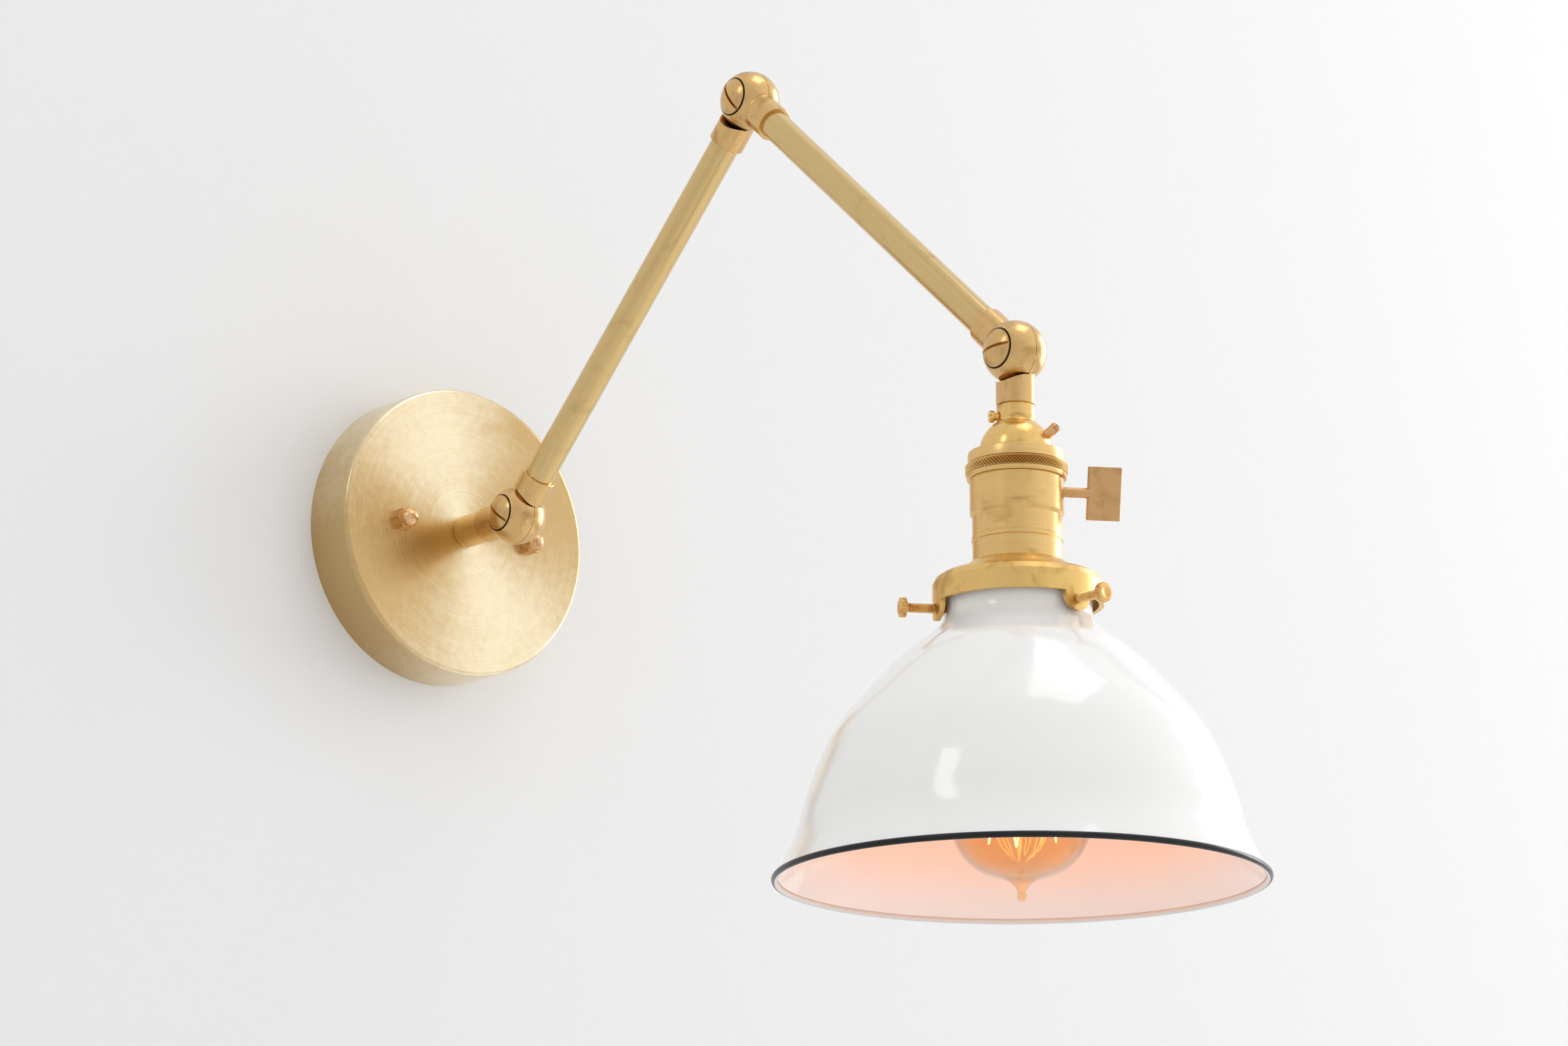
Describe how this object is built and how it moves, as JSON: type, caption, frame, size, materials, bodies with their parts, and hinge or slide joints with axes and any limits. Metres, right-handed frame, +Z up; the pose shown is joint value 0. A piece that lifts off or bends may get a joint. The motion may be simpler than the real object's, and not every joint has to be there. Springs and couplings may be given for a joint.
{
  "type": "swing arm wall sconce",
  "caption": "Brass swing arm wall lamp with ball swivels, a round canopy, a keyed lamp socket and a white enamel dome shade.",
  "frame": {"origin": "centre of the crossbar's back face, in the plane of the wall", "axes": "+Y into the wall, +Z up, and the lamp stands out from the wall towards -Y; every swivel turns about an axis along X"},
  "size_m": [0.1929, 0.4873, 0.38],
  "materials": {
    "canopy_brass": "satin, brushed in circles",
    "arm_brass": "brushed along the tube",
    "turned_brass": "turned",
    "swivel_brass": "satin",
    "screw_brass": "satin",
    "socket_brass": "satin",
    "holder_brass": "cast, satin",
    "key_brass": "matt",
    "thumb_screw_brass": "knurled",
    "copper_brass": "satin",
    "cap_nut_brass": "polished",
    "strap_steel": "zinc plated",
    "spring_steel": "bright",
    "green_screw": "dyed",
    "wire_insulation": "smooth",
    "liner_fibre": "matt card",
    "switch_moulding": "moulded",
    "contact_metal": "bright",
    "lamp_insulator": "fused",
    "white_enamel": "gloss enamel",
    "black_enamel": "gloss enamel",
    "lamp_glass": "clear, tipped",
    "stem_glass": "clear",
    "filament_wire": "glowing",
    "hook_wire": "drawn"
  },
  "bodies": {
    "wall_mount": {"canopy": "canopy_brass", "crossbar": "strap_steel", "ground_screw": "green_screw", "mounting_studs": "strap_steel", "stud_lock_nuts": "strap_steel", "cap_nuts": "cap_nut_brass", "canopy_nipple": "turned_brass", "nipple_lock_nut": "turned_brass", "nipple_washer": "strap_steel", "stem": "turned_brass", "stem_wires": "wire_insulation", "swivel_1_near_half": "swivel_brass"},
    "arm_1": {"swivel_1_far_half": "swivel_brass", "swivel_1_screw": "screw_brass", "swivel_1_washer": "spring_steel", "arm_1_tube": "arm_brass", "arm_1_wires": "wire_insulation", "swivel_2_far_half": "swivel_brass", "swivel_2_screw": "screw_brass", "swivel_2_washer": "spring_steel"},
    "arm_2": {"swivel_2_near_half": "swivel_brass", "arm_2_tube": "arm_brass", "arm_2_wires": "wire_insulation", "swivel_3_near_half": "swivel_brass"},
    "head": {"swivel_3_far_half": "swivel_brass", "swivel_3_screw": "screw_brass", "swivel_3_washer": "spring_steel", "socket_nipple": "turned_brass", "socket_cap": "socket_brass", "cap_set_screw": "screw_brass", "cap_side_tube": "copper_brass", "socket_ring": "socket_brass", "socket_shell": "socket_brass", "insulating_liner": "liner_fibre", "switch_body": "switch_moulding", "terminal_screws": "screw_brass", "socket_thread": "contact_metal", "centre_contact": "contact_metal", "head_wires": "wire_insulation", "shade_holder": "holder_brass", "shade": "white_enamel", "shade_rim": "black_enamel", "lamp_base": "contact_metal", "lamp_tip": "lamp_insulator", "lamp_glass": "lamp_glass", "lamp_stem": "stem_glass", "lamp_filament": "filament_wire", "filament_hooks": "hook_wire"},
    "key": {"turn_key": "key_brass"},
    "thumb_1": {"thumb_screw_1": "thumb_screw_brass"},
    "thumb_2": {"thumb_screw_2": "thumb_screw_brass"},
    "thumb_3": {"thumb_screw_3": "thumb_screw_brass"}
  },
  "joints": [
    {"name": "swivel_1", "type": "hinge", "parent": "wall_mount", "child": "arm_1", "pos_m": [0, -0.065, 0], "axis": [-1, 0, 0], "range_deg": [-133, 47]},
    {"name": "swivel_2", "type": "hinge", "parent": "arm_1", "child": "arm_2", "pos_m": [0, -0.22663, 0.15072], "axis": [-1, 0, 0], "range_deg": [-10, 180]},
    {"name": "swivel_3", "type": "hinge", "parent": "arm_2", "child": "head", "pos_m": [0, -0.39086, 0.00284], "axis": [-1, 0, 0], "range_deg": [-42, 138]},
    {"name": "key_turn", "type": "hinge", "parent": "head", "child": "key", "pos_m": [0.02165, -0.40336, -0.05336], "axis": [0.866, -0.5, 0], "continuous": true},
    {"name": "thumb_screw_1_travel", "type": "slide", "parent": "head", "child": "thumb_1", "axis": [-0.8829, 0.4695, 0], "range_m": [0, 0.0035]},
    {"name": "thumb_screw_2_travel", "type": "slide", "parent": "head", "child": "thumb_2", "axis": [0.0349, -0.9994, 0], "range_m": [0, 0.0035]},
    {"name": "thumb_screw_3_travel", "type": "slide", "parent": "head", "child": "thumb_3", "axis": [0.848, 0.5299, 0], "range_m": [0, 0.0035]}
  ]
}
